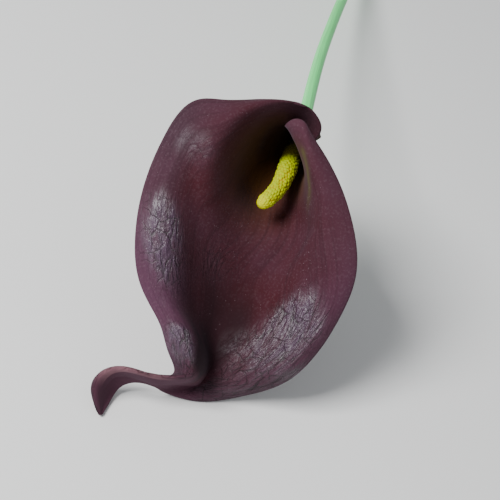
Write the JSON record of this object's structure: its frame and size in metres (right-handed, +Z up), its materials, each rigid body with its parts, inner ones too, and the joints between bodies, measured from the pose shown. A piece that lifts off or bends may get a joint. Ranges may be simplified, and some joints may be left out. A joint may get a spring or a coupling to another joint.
{
  "type": "calla lily flower",
  "caption": "Cut calla lily lying on its side: a dark rolled spathe flaring to a curled tail, round a granular yellow spadix, on a smooth slender stem.",
  "frame": {"origin": "bottom centre of the bounding box, on the surface that the flower lies on", "axes": "+Z up; +Y from the bloom toward the cut end of the stem; the bloom's mouth faces up and toward -Y; +X toward the inner margin's side of the blade"},
  "size_m": [0.0664, 0.3152, 0.0721],
  "materials": {
    "spathe": "satin burgundy petal with a fine crinkle",
    "spadix": "matt granular yellow florets",
    "stem": "smooth pale green"
  },
  "bodies": {
    "root": {"spathe": "spathe", "spadix": "spadix", "stem": "stem"}
  },
  "joints": []
}
